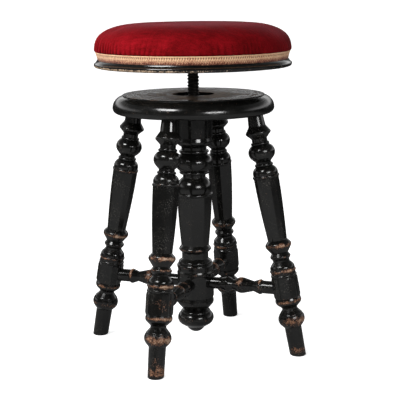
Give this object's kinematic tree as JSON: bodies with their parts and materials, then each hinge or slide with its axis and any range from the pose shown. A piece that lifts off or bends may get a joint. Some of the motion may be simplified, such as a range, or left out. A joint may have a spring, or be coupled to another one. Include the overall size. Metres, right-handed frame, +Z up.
{
  "type": "revolving piano stool",
  "caption": "Round velvet-covered piano stool seat on an iron screw spindle over a turned, black-lacquered wooden stand with a central column, raked legs and stretchers.",
  "frame": {"origin": "on the floor under the column, at the centre of the four feet", "axes": "+Z up along the spindle and column; -Y towards the front leg, +X towards the right leg"},
  "size_m": [0.4194, 0.4194, 0.5888],
  "materials": {
    "ebonised_wood": "glossy black lacquer over turned beech, worn to brown wood on rims and rings",
    "platform_lacquer": "black lacquer rubbed to a streaky brown-black on top, glossy on the rounded edge",
    "board_lacquer": "black lacquer, chipped pale along the lip",
    "dark_iron": "dark oiled iron, satin, brighter on the thread's crests",
    "screw_steel": "dull grey steel",
    "stuffing": "horsehair and flock stuffing, out of sight",
    "velvet": "crimson cotton velvet with a soft pinkish sheen at a low angle",
    "gimp_braid": "peach and tan woven gimp braid",
    "tack_brass": "dull upholstery tacks, under the braid"
  },
  "bodies": {
    "stand": {"platform": "platform_lacquer", "column": "ebonised_wood", "leg_front": "ebonised_wood", "leg_right": "ebonised_wood", "leg_back": "ebonised_wood", "leg_left": "ebonised_wood", "stretcher_front": "ebonised_wood", "stretcher_right": "ebonised_wood", "stretcher_back": "ebonised_wood", "stretcher_left": "ebonised_wood", "nut_plate": "dark_iron", "nut_plate_screws": "screw_steel"},
    "stop": {"stop_washer": "dark_iron"},
    "seat": {"spindle": "dark_iron", "stop_pin": "screw_steel", "seat_flange": "dark_iron", "seat_flange_screws": "screw_steel", "seat_board": "board_lacquer", "stuffing": "stuffing", "velvet_cover": "velvet", "gimp_braid": "gimp_braid", "cover_tacks": "tack_brass"}
  },
  "joints": [
    {"name": "seat_lift", "type": "slide", "parent": "stand", "child": "stop", "axis": [0, 0, 1], "range_m": [-0.04801, 0.04801]},
    {"name": "seat_turn", "type": "hinge", "parent": "stop", "child": "seat", "pos_m": [0, 0, 0.45], "axis": [0, 0, 1], "range_deg": [-2880, 2880]}
  ],
  "couplings": [
    {"joint": "seat_lift", "follows": "seat_turn", "m_per_rad": 0.00095493}
  ]
}
